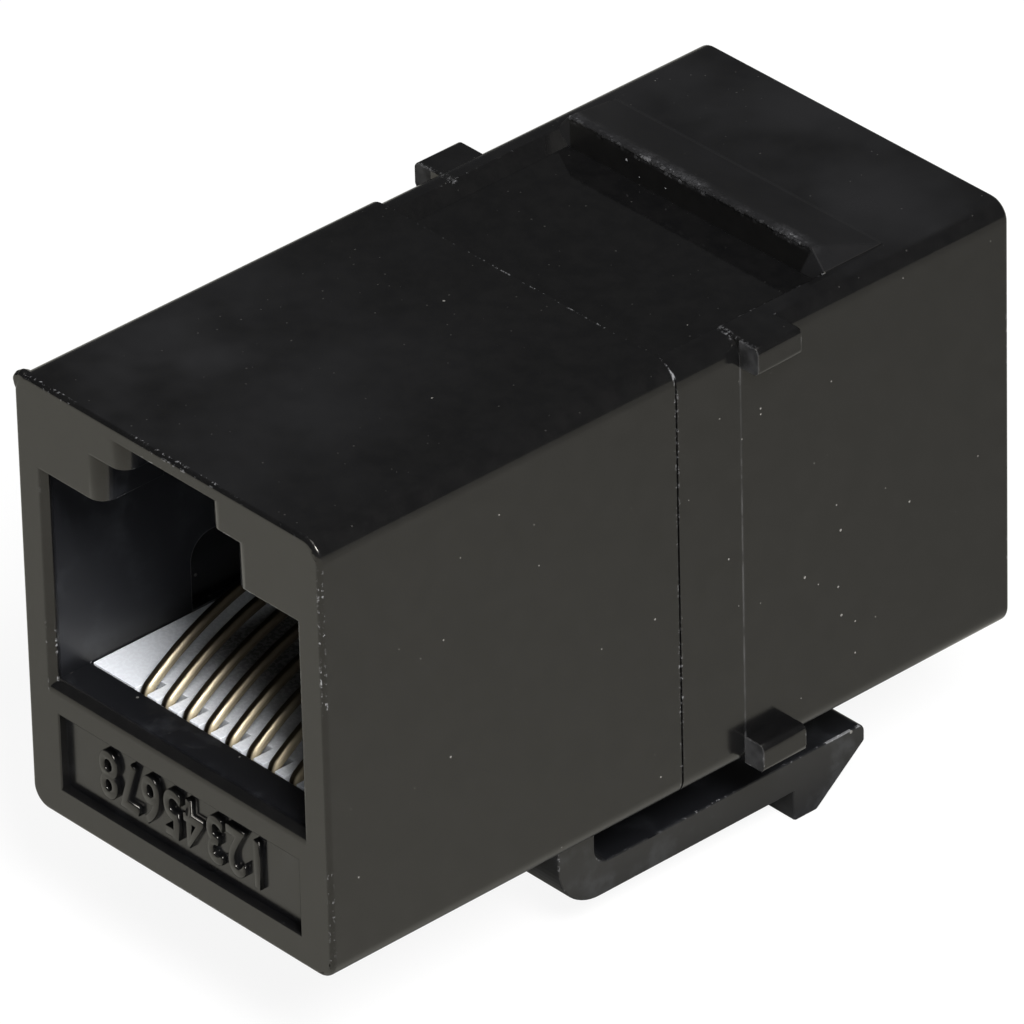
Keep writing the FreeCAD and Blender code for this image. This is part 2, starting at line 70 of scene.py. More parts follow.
MIDDLE_Y = -4.875
SEAM_Y = -4.66
FAR_HALF = (-4.0, -3.0)
BODY_BOTTOM = -8.3
SIDE_FACE = 7.2
FAR_TOP = 8.0
TROUGH_FLOOR = 7.55
RAIL_INSIDE = 6.1
LUGS_NEAR = -1.9
LUG_OUTSIDE = (7.27, 7.33)
CORNER_SIDE = (6.95, 7.05)
CORNER_TOP = (7.60, 7.70)
RIDGE_FACE = 2.7
RIDGE_HALF = 5.66
RIDGE_CREST = 8.7
WINDOW_LOW, WINDOW_HIGH = 7.9, 9.0
FIELD_MIDDLE = -5.6
FIELD_HALF_HEIGHT = (1.6, 1.7)
FIELD_HALF_WIDTH = (6.0, 6.1)
FIELD_FLOOR = (-19.3, -19.2)


# Node helpers

class Tree:
    """A node tree, built by short calls."""

    def add(self, kind, inputs=None, **settings):
        made = self.tree.nodes.new(kind)
        for name, setting in settings.items():
            setattr(made, name, setting)
        for name, source in (inputs or {}).items():
            self.feed(made.inputs[name], source)
        return made

    def feed(self, socket, source):
        if isinstance(source, bpy.types.NodeSocket):
            self.tree.links.new(source, socket)
        else:
            socket.default_value = source

    def math(self, operation, *values):
        return self.add("ShaderNodeMath", dict(enumerate(values)), operation=operation).outputs[0]

    def parts(self, vector):
        """X, Y and Z of a vector."""
        return self.add("ShaderNodeSeparateXYZ", {0: vector}).outputs


class Graph(Tree):
    """A material's node tree. It knows the place on the object at rest, in millimetres, and which way a face looks."""

    def __init__(self, name):
        self.material = bpy.data.materials.new(name)
        self.material.use_nodes = True
        self.tree = self.material.node_tree
        self.tree.nodes.clear()
        self.output = self.node("OutputMaterial")
        coordinates = self.node("TexCoord").outputs
        scaled = self.node("VectorMath", {0: coordinates["Object"], "Scale": 1 / MM}, operation="SCALE")
        self.place = scaled.outputs[0]
        self.across, self.along, self.height = self.parts(self.place)
        self.width = self.math("ABSOLUTE", self.across)
        self.from_middle = self.gap(self.along, MIDDLE_Y)
        self.sideways, self.rearward, self.upward = self.parts(coordinates["Normal"])

    def node(self, kind, inputs=None, **settings):
        return self.add("ShaderNode" + kind, inputs, **settings)

    def times(self, *values):
        """Product of the values."""
        product = values[0]
        for value in values[1:]:
            product = self.math("MULTIPLY", product, value)
        return product

    def highest(self, *values):
        found = values[0]
        for value in values[1:]:
            found = self.math("MAXIMUM", found, value)
        return found

    def inverse(self, value):
        return self.math("SUBTRACT", 1.0, value)

    def gap(self, value, plane):
        """Distance of a coordinate from a plane."""
        return self.math("ABSOLUTE", self.math("SUBTRACT", value, plane))

    def ramp(self, value, low, high, to_low=0.0, to_high=1.0):
        """Maps low..high to to_low..to_high with a smooth step."""
        made = self.node("MapRange", {"Value": value, "From Min": low, "From Max": high,
                                      "To Min": to_low, "To Max": to_high}, interpolation_type="SMOOTHSTEP")
        return made.outputs["Result"]

    def fade(self, value, low, high, most=1.0):
        """Falls from the most to nothing between low and high."""
        return self.ramp(value, low, high, most, 0.0)

    def noise(self, size, detail=2.0, roughness=0.5, place=None):
        """Noise from 0 to 1 with features of about the given size in millimetres."""
        made = self.node("TexNoise", {"Vector": self.place if place is None else place, "Scale": 1 / size,
                                      "Detail": detail, "Roughness": roughness})
        return made.outputs["Fac"]

    def blotches(self, size, low, high, least=0.0, most=1.0, detail=2.0, roughness=0.5):
        """Soft spots of about the given size: least where the noise is under low, most where it is over high."""
        return self.ramp(self.noise(size, detail, roughness), low, high, least, most)

    def specks(self, spacing, size, share):
        """1 on scattered round specks: the given share of cells has a speck of up to the given size."""
        cells = self.node("TexVoronoi", {"Vector": self.place, "Scale": 1 / spacing, "Randomness": 1.0})
        chance = self.node("SeparateColor", {0: cells.outputs["Color"]})
        chosen = self.math("LESS_THAN", chance.outputs[0], share)
        reach = self.math("MULTIPLY", chance.outputs[1], size / spacing)
        return self.times(chosen, self.math("LESS_THAN", cells.outputs["Distance"], reach))

    def mix(self, factor, first, second):
        made = self.node("Mix", data_type="RGBA")
        self.feed(made.inputs["Factor"], factor)
        self.feed(made.inputs[6], first)
        self.feed(made.inputs[7], second)
        return made.outputs[2]

    def bump(self, height, strength, distance, normal=None):
        """Bump of the given depth in millimetres, on top of another one if that is given."""
        made = self.node("Bump", {"Height": height, "Strength": strength, "Distance": distance * MM})
        if normal is not None:
            self.feed(made.inputs["Normal"], normal)
        return made.outputs["Normal"]

    def plain(self, **inputs):
        """Ends the material in one surface shader, whose inputs are given by name."""
        named = {name.replace("_", " "): source for name, source in inputs.items()}
        return self.finish(self.node("BsdfPrincipled", named))

    def finish(self, shader):
        self.tree.links.new(shader.outputs[0], self.output.inputs["Surface"])
        return self.material


class Shape(Tree):
    """A geometry node group that a mesh passes through, step by step."""

    def __init__(self, name):
        self.tree = bpy.data.node_groups.new(name, "GeometryNodeTree")
        for way in ("INPUT", "OUTPUT"):
            self.tree.interface.new_socket("Geometry", in_out=way, socket_type="NodeSocketGeometry")
        self.mesh = self.add("NodeGroupInput").outputs["Geometry"]
        self.place = self.add("GeometryNodeInputPosition").outputs[0]

    def step(self, kind, inputs, **settings):
        made = self.add("GeometryNode" + kind, {"Geometry": self.mesh, **inputs}, **settings)
        self.mesh = made.outputs["Geometry"]

    def steeper(self, measure, angle):
        """1 on edges whose angle, signed or unsigned, is over the given one."""
        return self.math("GREATER_THAN", self.add("GeometryNodeInputMeshEdgeAngle").outputs[measure], angle)

    def mark_edges(self, name, data_type, value):
        self.step("StoreNamedAttribute", {"Name": name, "Value": value}, data_type=data_type, domain="EDGE")

    def finish(self):
        self.add("NodeGroupOutput", {"Geometry": self.mesh})
        return self.tree


# Black plastic

BLACK_DARK = (0.0035, 0.0035, 0.0037, 1)
BLACK_PALE = (0.0051, 0.0050, 0.0051, 1)
# Painted sheen, blotchy like a film on the upper faces
FILM_AND_SHEEN = (0.0150, 0.0150, 0.0160, 1)
# Painted shade and painted light for the walls inside the ports; the pale one has a bluish painted reflection of the
# white carrier
CORE_PAINTED_SHADE = (0.0060, 0.0063, 0.0076, 1)
CORE_PAINTED_LIGHT = (0.0152, 0.0160, 0.0185, 1)
SMUDGE = (0.025, 0.0265, 0.030, 1)
DUST = (0.24, 0.232, 0.216, 1)
# Pale scuffs and wear, also used for painted highlights on the witness line and the windows' rims
SCUFF_AND_HIGHLIGHT = (0.35, 0.35, 0.36, 1)
CREST_SCUFF = (0.041, 0.041, 0.043, 1)
WARM_GLOSS = (1.0, 0.96, 0.88, 1)
PLASTIC_IOR = 1.46
FULL_GLOSS = 0.5

# Reach of the painted sheen and film on the upper faces
SHEEN_FILM_REACH = (2.0, 11.0)
SHEEN_FILM_IN_MIDDLE = 0.15
SHEEN_FILM_BOTTOM = (7.70, 7.80)
SHEEN_FILM_LEFT, SHEEN_FILM_RIGHT = -5.0, 6.0
NEAR_SHEEN_FILM_LOST, FAR_SHEEN_FILM_LOST = 0.75, 0.30
CORE_HALF_WIDTH = (6.25, 6.35)
CORE_HALF_LENGTH = (14.4, 14.6)
CORE_TOP = (7.45, 7.53)
CORE_SHADED_ABOVE = (-1.5, 4.5)
CORE_SHADED_BELOW = (-2.9, -2.2)
CREST_HEIGHT = (8.40, 8.60)
CREST_DEPTH = (2.85, 3.30)
RIDGE_SLANT = 0.5

LINT_SHOWS, DUST_SHOWS, FINE_DUST_SHOWS = 0.5, 0.6, 0.10
CHIPS_SHOW, PAINTED_RIDGE_SHEEN, WEAR_SHOWS, WINDOW_RIM_HIGHLIGHT = 0.32, 0.35, 0.5, 0.28
RIDGE_END_MATT, RIDGE_FACE_MATT, RIDGE_BACK_MATT, LUG_FACE_MATT = 0.92, 0.40, 0.80, 0.85
SMOOTHEST, CLOUDIEST = 0.13, 0.19
GRAIN_ROUGHNESS, FILM_ROUGHNESS = 0.05, 0.08
CORE_ROUGHNESS, CREST_ROUGHNESS, MATT_ROUGHNESS = 0.34, 0.5, 0.55
TROUGH_POLISH = 0.55


def film_on_tops(graph):
    """Painted sheen on the upper faces, blotchy like a hazy film, thick towards both ends of the part. On the near
    half it thins to the right.
    """
    near_half = graph.math("LESS_THAN", graph.along, SEAM_Y)
    near_lost = graph.times(graph.ramp(graph.across, SHEEN_FILM_LEFT, SHEEN_FILM_RIGHT, 0.0, NEAR_SHEEN_FILM_LOST), near_half)
    far_lost = graph.times(graph.inverse(near_half), FAR_SHEEN_FILM_LOST)
    return graph.times(graph.ramp(graph.upward, 0.80, 0.98),
                       graph.ramp(graph.from_middle, *SHEEN_FILM_REACH, SHEEN_FILM_IN_MIDDLE, 1.0),
                       graph.blotches(6.0, 0.30, 0.70, detail=3.0, roughness=0.55),
                       graph.ramp(graph.height, *SHEEN_FILM_BOTTOM),
                       graph.inverse(graph.math("ADD", near_lost, far_lost)))


def moulded_core(graph):
    """1 on the walls inside the ports, which the mould's core leaves less glossy."""
    return graph.times(graph.fade(graph.width, *CORE_HALF_WIDTH), graph.fade(graph.from_middle, *CORE_HALF_LENGTH),
                       graph.fade(graph.height, *CORE_TOP))


def core_layers(graph, core):
    """Walls inside the ports: painted shade towards the top and the bottom, and painted light, palest just below
    mid-height, with a bluish painted reflection of the white carrier; with smudges and lint.
    """
    shade = graph.highest(graph.ramp(graph.height, *CORE_SHADED_ABOVE), graph.fade(graph.height, *CORE_SHADED_BELOW))
    smudges = graph.blotches(1.3, 0.50, 0.72, most=0.5, detail=4.0, roughness=0.6)
    lint = graph.specks(spacing=0.7, size=0.07, share=0.35)
    return [(core, graph.mix(shade, CORE_PAINTED_LIGHT, CORE_PAINTED_SHADE)),
            (graph.times(core, smudges), SMUDGE),
            (graph.times(core, lint, LINT_SHOWS), DUST)]


def dust_layers(graph):
    """Dust specks on all faces, and finer ones on faces that look up."""
    coarse = graph.specks(spacing=0.8, size=0.05, share=0.22)
    fine = graph.times(graph.specks(spacing=0.30, size=0.035, share=0.45), graph.ramp(graph.upward, 0.5, 0.9))
    return [(graph.times(coarse, DUST_SHOWS), DUST), (graph.times(fine, FINE_DUST_SHOWS), DUST)]


def crest_wear(graph, far_half, rough):
    """Two masks on the ridge's crest: a scuffed band, and chips along the near edge."""
    patches = graph.blotches(1.6, 0.40, 0.62, least=0.15)
    on_crest = graph.times(graph.ramp(graph.height, *CREST_HEIGHT), far_half)
    scuffed = graph.times(on_crest, graph.ramp(rough, 0.36, 0.62, 0.25, 1.0), graph.fade(graph.along, *CREST_DEPTH),
                          patches)
    near_edge = graph.fade(graph.along, RIDGE_FACE + 0.06, RIDGE_FACE + 0.20)
    chips = graph.times(graph.specks(spacing=0.16, size=0.11, share=0.45), near_edge, on_crest, patches)
    return scuffed, chips


def ridge_near_face(graph, near_facing):
    """1 on the ridge's upright near face, from the floor of the trough up."""
    return graph.times(graph.ramp(graph.height, TROUGH_FLOOR - 0.03, TROUGH_FLOOR + 0.05),
                       graph.ramp(graph.along, RIDGE_FACE - 0.20, RIDGE_FACE - 0.10),
                       graph.fade(graph.along, RIDGE_FACE + 0.05, RIDGE_FACE + 0.10), near_facing)


def past_dark_ridge(graph):
    """1 past the two ends of the ridge's dark face, where painted sheen goes: the left one is upright, the right one
    slants.
    """
    left = graph.fade(graph.across, -RIDGE_HALF - 0.04, -RIDGE_HALF + 0.04)
    slant = graph.times(graph.math("SUBTRACT", RIDGE_CREST, graph.height), RIDGE_SLANT)
    right = graph.ramp(graph.math("ADD", graph.across, slant), RIDGE_HALF + 0.02, RIDGE_HALF + 0.14)
    return graph.highest(left, right)


def joint_layers(graph):
    """Pale marks: a painted highlight along the mould's witness line beside the lugs, the rubbed ends of the upper
    lugs, and the worn seam.
    """
    from_lugs = graph.gap(graph.along, LUGS_NEAR)
    # Painted highlight along the witness line
    witness_highlight = graph.times(graph.fade(from_lugs, 0.01, 0.06), graph.ramp(graph.width, SIDE_FACE, SIDE_FACE + 0.03),
                          graph.blotches(0.8, 0.35, 0.65, least=0.02, most=0.09, detail=3.0))
    paler = graph.times(graph.ramp(graph.width, RAIL_INSIDE, RAIL_INSIDE + 0.1),
                         graph.ramp(graph.height, FAR_TOP - 0.20, FAR_TOP - 0.05), graph.fade(from_lugs, 0.05, 0.18),
                         graph.blotches(0.12, 0.50, 0.66, most=0.30, detail=4.0, roughness=0.7))
    seam = graph.times(graph.fade(graph.gap(graph.along, SEAM_Y), 0.05, 0.12),
                       graph.math("GREATER_THAN", graph.height, BODY_BOTTOM))
    corner = graph.times(seam, graph.ramp(graph.width, *CORNER_SIDE), graph.ramp(graph.height, *CORNER_TOP),
                         graph.blotches(0.14, 0.44, 0.58, most=0.5, detail=3.0, roughness=0.7))
    dotted = graph.times(seam, graph.blotches(0.16, 0.54, 0.66, detail=3.0, roughness=0.7),
                         graph.blotches(2.0, 0.38, 0.62, least=0.05, most=0.40))
    return [(witness_highlight, SCUFF_AND_HIGHLIGHT), (paler, SCUFF_AND_HIGHLIGHT), (graph.highest(dotted, corner), SCUFF_AND_HIGHLIGHT)]


def edge_layers(graph, core, ridge):
    """Pale scuffs on edges, in dotted stretches, but not on the ridge or in the field; and a painted highlight along
    the windows' rims.
    """
    scuffs = graph.blotches(0.20, 0.54, 0.68, detail=3.0, roughness=0.7)
    stretches = graph.blotches(2.6, 0.42, 0.62)
    field = graph.times(graph.fade(graph.width, *FIELD_HALF_WIDTH), graph.fade(graph.along, *FIELD_FLOOR),
                        graph.fade(graph.gap(graph.height, FIELD_MIDDLE), *FIELD_HALF_HEIGHT))
    wear = graph.times(scuffs, stretches, graph.inverse(ridge), graph.inverse(field))
    # Painted highlight along the windows' rims
    rim_highlight = graph.times(graph.math("GREATER_THAN", graph.from_middle, WINDOW_LOW),
                       graph.math("LESS_THAN", graph.from_middle, WINDOW_HIGH),
                       graph.math("LESS_THAN", graph.height, 0.0), core)
    return [(graph.times(wear, WEAR_SHOWS), SCUFF_AND_HIGHLIGHT), (graph.times(rim_highlight, WINDOW_RIM_HIGHLIGHT), SCUFF_AND_HIGHLIGHT)]


def plastic_roughness(graph, grain, film_and_sheen, core, crest, matt):
    """Flow clouds, grain and film make the gloss uneven. The trough is more polished, other places are rougher."""
    roughness = graph.blotches(5.0, 0.3, 0.7, SMOOTHEST, CLOUDIEST, detail=3.0)
    roughness = graph.math("ADD", roughness, graph.times(grain, GRAIN_ROUGHNESS))
    roughness = graph.math("ADD", roughness, graph.times(film_and_sheen, FILM_ROUGHNESS))
    trough = graph.times(graph.ramp(graph.upward, 0.90, 0.98), graph.ramp(graph.along, SEAM_Y - 0.14, SEAM_Y + 0.06),
                         graph.math("COMPARE", graph.height, TROUGH_FLOOR, 0.05))
    roughness = graph.times(roughness, graph.inverse(graph.times(trough, TROUGH_POLISH)))
    return graph.highest(roughness, graph.times(core, CORE_ROUGHNESS), graph.times(crest, CREST_ROUGHNESS),
                         graph.times(graph.math("GREATER_THAN", matt, 0.2), MATT_ROUGHNESS))


def black_plastic(name, worn):
    """Glossy black moulded plastic with its film, dust and wear, and with painted sheen on the upper faces and the
    ridge, painted light and shade on the walls inside the ports and a painted highlight along the witness line. On
    edges it is worn to pale scuffs, with a painted highlight on the windows' rims.
    """
    graph = Graph(name)
    far_half = graph.ramp(graph.along, *FAR_HALF)
    near_facing = graph.fade(graph.rearward, -0.7, -0.4)
    grain = graph.noise(0.10, 3.0, 0.6)
    rough = graph.noise(0.16, 4.0, 0.7)
    film_and_sheen = film_on_tops(graph)
    core = moulded_core(graph)
    crest, chips = crest_wear(graph, far_half, rough)
    face = ridge_near_face(graph, near_facing)
    ridge = graph.times(graph.ramp(graph.height, FAR_TOP + 0.02, FAR_TOP + 0.06), far_half)
    ridge_end = graph.times(ridge, graph.ramp(graph.math("ABSOLUTE", graph.sideways), 0.15, 0.35))
    ridge_back = graph.times(ridge, graph.ramp(graph.upward, 0.5, 0.8))
    lug_face = graph.times(graph.ramp(graph.width, *LUG_OUTSIDE), far_half, near_facing)

    # The first layer is painted sheen on the upper faces, blotchy like a film
    layers = [(film_and_sheen, FILM_AND_SHEEN)] + core_layers(graph, core) + dust_layers(graph)
    layers += [(crest, CREST_SCUFF), (graph.times(chips, CHIPS_SHOW), SCUFF_AND_HIGHLIGHT),
               # Painted sheen past the ends of the ridge's dark face, and on the ridge's ends and back in place of the
               # reflection that their matt finish takes away
               (graph.times(face, past_dark_ridge(graph)), FILM_AND_SHEEN),
               (graph.times(face, graph.specks(spacing=0.6, size=0.09, share=0.30)), SCUFF_AND_HIGHLIGHT),
               (graph.times(graph.highest(ridge_end, ridge_back), PAINTED_RIDGE_SHEEN), FILM_AND_SHEEN)]
    layers += joint_layers(graph)
    if worn:
        layers += edge_layers(graph, core, ridge)
    mottle = graph.blotches(0.7, 0.30, 0.70, detail=4.0, roughness=0.65)
    colour = graph.mix(mottle, BLACK_DARK, BLACK_PALE)
    for mask, tint in layers:
        colour = graph.mix(mask, colour, tint)

    matt = graph.highest(graph.times(ridge_end, RIDGE_END_MATT), graph.times(face, RIDGE_FACE_MATT),
                         graph.times(ridge_back, RIDGE_BACK_MATT), graph.times(lug_face, LUG_FACE_MATT))
    normal = graph.bump(grain, strength=0.05, distance=0.003)
    normal = graph.bump(graph.times(crest, rough), strength=0.6, distance=0.05, normal=normal)
    return graph.plain(Base_Color=colour, Roughness=plastic_roughness(graph, grain, film_and_sheen, core, crest, matt),
                       Normal=normal, IOR=PLASTIC_IOR, Specular_Tint=WARM_GLOSS,
                       Specular_IOR_Level=graph.times(graph.inverse(matt), FULL_GLOSS))


# Other finishes

WHITE_DARK = (0.86, 0.89, 0.94, 1)
WHITE_PALE = (0.91, 0.93, 0.97, 1)
# Painted shade in the carriers' depth, between the wires
PLATE_SHADE = (0.070, 0.065, 0.052, 1)
PLATE_SHADED_DEPTH = (9.0, 12.2)
PLATE_SHADED_HALF_WIDTH = (3.9, 4.7)
PLATE_SHADE_SHOWS = 0.92


def white_plastic():
    """White moulded plastic of the contact carriers, with a faint cool cast, fine grain and painted shade in its depth
    between the wires.
    """
    graph = Graph("white_plastic")
    grain = graph.noise(0.15)
    painted_shade = graph.times(graph.fade(graph.from_middle, *PLATE_SHADED_DEPTH, PLATE_SHADE_SHOWS),
                         graph.fade(graph.width, *PLATE_SHADED_HALF_WIDTH))
    colour = graph.mix(painted_shade, graph.mix(graph.noise(2.5, 3.0), WHITE_DARK, WHITE_PALE), PLATE_SHADE)
    return graph.plain(Base_Color=colour, Roughness=graph.ramp(grain, 0.3, 0.7, 0.22, 0.32),
                       Normal=graph.bump(grain, strength=0.15, distance=0.006))


GOLD_DARK = (0.60, 0.51, 0.34, 1)
GOLD_PALE = (0.74, 0.64, 0.45, 1)
BRONZE_STREAK = (0.24, 0.18, 0.12, 1)
# Bare bronze darkened by painted shade deep in the port
BRONZE_IN_SHADE = (0.06, 0.048, 0.033, 1)
# Painted shade on the wire's sides that do not face +X
SHADED_SIDE = (0.07, 0.055, 0.038, 1)
DRAWN = (5.0, 0.4, 0.4)
STREAKS_SHOW, DEPTH_SHADE_SHOWS = 0.40, 0.95
PLATED_AND_LIT_DEPTH = (10.8, 13.3)
LIT_SIDE_FACING = (0.28, 0.70)
LIT_SIDE_DULL = 0.5


def gold_wire():
    """Bronze spring wire with drawn streaks, plated with thin gold where the plug's blades touch it. Deeper in,
    painted shade darkens the bare bronze, and only the side facing +X keeps its gold: the other sides get painted
    shade."""
    graph = Graph("gold_wire")
    drawn = graph.node("VectorMath", {0: graph.place, 1: DRAWN}, operation="MULTIPLY").outputs[0]
    streaks = graph.noise(0.5, 3.0, place=drawn)
    paler = graph.ramp(graph.sideways, *LIT_SIDE_FACING)
    colour = graph.mix(graph.noise(2.5), GOLD_DARK, GOLD_PALE)
    colour = graph.mix(graph.ramp(streaks, 0.45, 0.75, 0.0, STREAKS_SHOW), colour, BRONZE_STREAK)
    # Deeper in, the plating ends and painted shade darkens the bronze
    colour = graph.mix(graph.fade(graph.from_middle, *PLATED_AND_LIT_DEPTH, DEPTH_SHADE_SHOWS), colour, BRONZE_IN_SHADE)
    # Painted shade on every side but the one facing +X, which keeps its gold and is less metallic
    colour = graph.mix(paler, SHADED_SIDE, colour)
    return graph.plain(Base_Color=colour, Metallic=graph.inverse(graph.times(paler, LIT_SIDE_DULL)),
                       Roughness=graph.ramp(streaks, 0.3, 0.7, 0.36, 0.46),
                       Normal=graph.bump(streaks, strength=0.06, distance=0.003))


MASK_DARK = (0.010, 0.085, 0.030, 1)
MASK_PALE = (0.016, 0.120, 0.045, 1)
GLASS_PALE = (0.03, 0.18, 0.07, 1)
GLASS_SHOWS = 0.12


def green_board():
    """Solder mask over woven glass."""
    graph = Graph("green_board")
    weave = graph.node("TexChecker", {"Vector": graph.place, "Scale": 2.2}).outputs["Fac"]
    colour = graph.mix(graph.noise(1.0, 3.0), MASK_DARK, MASK_PALE)
    colour = graph.mix(graph.times(weave, GLASS_SHOWS), colour, GLASS_PALE)
    return graph.plain(Base_Color=colour, Roughness=0.32, Normal=graph.bump(weave, strength=0.08, distance=0.01))


FLOOR_PAINT = (0.92, 0.92, 0.91, 1)
FLOOR_WHITE = (1.0, 1.0, 1.0, 1)
FLOOR_WARM = (1.0, 0.98, 0.865, 1)
FLOOR_WHITENESS = 0.90
REFLECTED_REACH = (-40.0, 40.0)
REFLECTED_NEAR, REFLECTED_FAR = 0.84, 0.40
SHADED_HALF_WIDTH = (5.5, 8.5)
SHADED_HALF_LENGTH = (13.0, 16.5)
SHADED_BELOW = 0.85


def pale_floor():
    """White floor. It shows as white to the camera, keeps a faint shadow, and in reflections it is a warm white
    that falls off to the back and is shaded below the part."""
    graph = Graph("pale_floor")
    path = graph.node("LightPath").outputs
    direct = graph.highest(path["Is Camera Ray"], path["Is Transmission Ray"])
    seen = graph.highest(direct, path["Is Glossy Ray"])
    below = graph.times(graph.fade(graph.width, *SHADED_HALF_WIDTH),
                        graph.fade(graph.from_middle, *SHADED_HALF_LENGTH, SHADED_BELOW))
    reflected = graph.times(graph.ramp(graph.along, *REFLECTED_REACH, REFLECTED_NEAR, REFLECTED_FAR),
                            graph.inverse(below))
    lit = graph.node("BsdfDiffuse", {"Color": FLOOR_PAINT})
    white = graph.node("Emission", {"Color": graph.mix(direct, FLOOR_WARM, FLOOR_WHITE),
                                    "Strength": graph.highest(direct, reflected)})
    return graph.finish(graph.node("MixShader", {0: graph.times(seen, FLOOR_WHITENESS),
                                                 1: lit.outputs[0], 2: white.outputs[0]}))


# Stage, light and camera

FLOOR_SIZE = 4.0
SKY_COLOUR = (0.95, 0.97, 1.0, 1)
SKY_STRENGTH = 0.07

# Name, azimuth, elevation, distance and size in metres, watts, and whether reflections show the lamp
LAMPS = (
    ("overhead", 60, 84, 0.60, 0.30, 0.9, True),
    ("key", 68, 48, 0.55, 0.20, 5.0, True),
    ("fill", 58, 18, 0.60, 0.30, 1.2, False),
)

CAMERA_AIM = Vector((-0.719, -4.610, -0.941)) * MM
CAMERA_DISTANCE = 440.2 * MM
CAMERA_AZIMUTH = 48.39
CAMERA_ELEVATION = 32.66
CAMERA_ROLL = -1.47
CAMERA_LENS = 481.3
CAMERA_SENSOR = 36.0
CAMERA_CLIP = 0.01


def add_object(name, data):
    made = bpy.data.objects.new(name, data)
    bpy.context.scene.collection.objects.link(made)
    return made


def direction(azimuth, elevation):
    """Unit vector away from the part. Azimuth 0 is in front, and grows towards +X."""
    turn, rise = math.radians(azimuth), math.radians(elevation)
    return Vector((math.sin(turn) * math.cos(rise), -math.cos(turn) * math.cos(rise), math.sin(rise)))


def add_floor():
    bpy.ops.mesh.primitive_plane_add(size=FLOOR_SIZE, location=(0, 0, cad_box[0][2]))
    floor = bpy.context.object
    floor.name = "floor"
    floor.data.materials.append(pale_floor())


def add_light():
    """A dim sky, and square area lamps that face the part."""
    world = bpy.data.worlds.new("studio")
    bpy.context.scene.world = world
    world.use_nodes = True
    background = world.node_tree.nodes["Background"]
    background.inputs["Color"].default_value = SKY_COLOUR
    background.inputs["Strength"].default_value = SKY_STRENGTH
    for name, azimuth, elevation, distance, size, watts, mirrored in LAMPS:
        lamp = bpy.data.lights.new(name, "AREA")
        lamp.size = size
        lamp.energy = watts
        away = direction(azimuth, elevation)
        holder = add_object(name, lamp)
        holder.visible_glossy = mirrored
        holder.location = away * distance
        holder.rotation_euler = away.to_track_quat("Z", "Y").to_euler()


def add_camera():
    lens = bpy.data.cameras.new("camera")
    lens.lens = CAMERA_LENS
    lens.sensor_width = CAMERA_SENSOR
    lens.clip_start = CAMERA_CLIP
    camera = add_object("camera", lens)
    away = direction(CAMERA_AZIMUTH, CAMERA_ELEVATION)
    facing = away.to_track_quat("Z", "Y").to_matrix() @ Matrix.Rotation(math.radians(CAMERA_ROLL), 3, "Z")
    camera.matrix_world = Matrix.Translation(CAMERA_AIM + away * CAMERA_DISTANCE) @ facing.to_4x4()
    bpy.context.scene.camera = camera


# Finishes of the CAD nodes

EDGE_ANGLE = math.radians(30)
SHARP_ANGLE = math.radians(40)
SEAM_REACH = 0.06
POST_END = -10.2
POST_TUCK = 0.25
POST_TUCK_REACH = 0.8
WELD_REACH = 0.0005
HOUSING_EDGE = 0.045
CARRIER_EDGE = 0.03
FLAT_FACES = 100


def outer_edges():
    """Marks a mesh's sharp outer edges for a bevel. Inner corners and the thin seam are left as they are."""
    shape = Shape("outer_edges")
    outer = shape.steeper("Signed Angle", EDGE_ANGLE)
    by_seam = shape.math("COMPARE", shape.parts(shape.place)["Y"], SEAM_Y * MM, SEAM_REACH * MM)
    shape.mark_edges("bevel_weight_edge", "FLOAT", shape.math("GREATER_THAN", outer, by_seam))
    return shape.finish()


def settled():
    """Keeps every point inside the box of the solids, and shades the corners that are left sharp."""
    shape = Shape("settled")
    point = shape.place
    for operation, corner in (("MAXIMUM", cad_box[0]), ("MINIMUM", cad_box[1])):
        point = shape.add("ShaderNodeVectorMath", {0: point, 1: corner}, operation=operation).outputs[0]
    shape.step("SetPosition", {"Position": point})
    shape.mark_edges("sharp_edge", "BOOLEAN", shape.steeper("Unsigned Angle", SHARP_ANGLE))
    return shape.finish()


def tucked():
    """Draws the tip of the latch's post inwards, so that it stays inside the rounder foot of the one-piece latch."""
    shape = Shape("tucked")
    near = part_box("panel_latch")[0][1]
    place = shape.parts(shape.place)
    at_tip = shape.math("LESS_THAN", place["Z"], POST_END * MM)
    drawn = shape.add("ShaderNodeMapRange", {"Value": place["Y"], "From Min": near,
                                             "From Max": near + POST_TUCK_REACH * MM,
                                             "To Min": POST_TUCK * MM, "To Max": 0.0}).outputs["Result"]
    offset = shape.add("ShaderNodeCombineXYZ", {"Y": shape.math("MULTIPLY", at_tip, drawn)}).outputs[0]
    shape.step("SetPosition", {"Offset": offset})
    return shape.finish()


OUTER_EDGES = outer_edges()
SETTLED = settled()


def shade_flat_faces(piece):
    """Takes the shading of rounded edges from the large faces beside them."""
    shading = piece.modifiers.new("shading", "WEIGHTED_NORMAL")
    shading.weight = FLAT_FACES
    return shading


def add_rounding(piece, width, edge_material=None):
    """Rounds a piece's sharp outer edges by a width in millimetres, and shades its large faces flat."""
    piece.modifiers.new("marking", "NODES").node_group = OUTER_EDGES
    rounding = piece.modifiers.new("rounding", "BEVEL")
    rounding.width = width * MM
    rounding.segments = 2
    rounding.limit_method = "WEIGHT"
    rounding.use_clamp_overlap = False
    if edge_material is not None:
        rounding.material = edge_material
    piece.modifiers.new("settling", "NODES").node_group = SETTLED
    shade_flat_faces(piece).keep_sharp = True


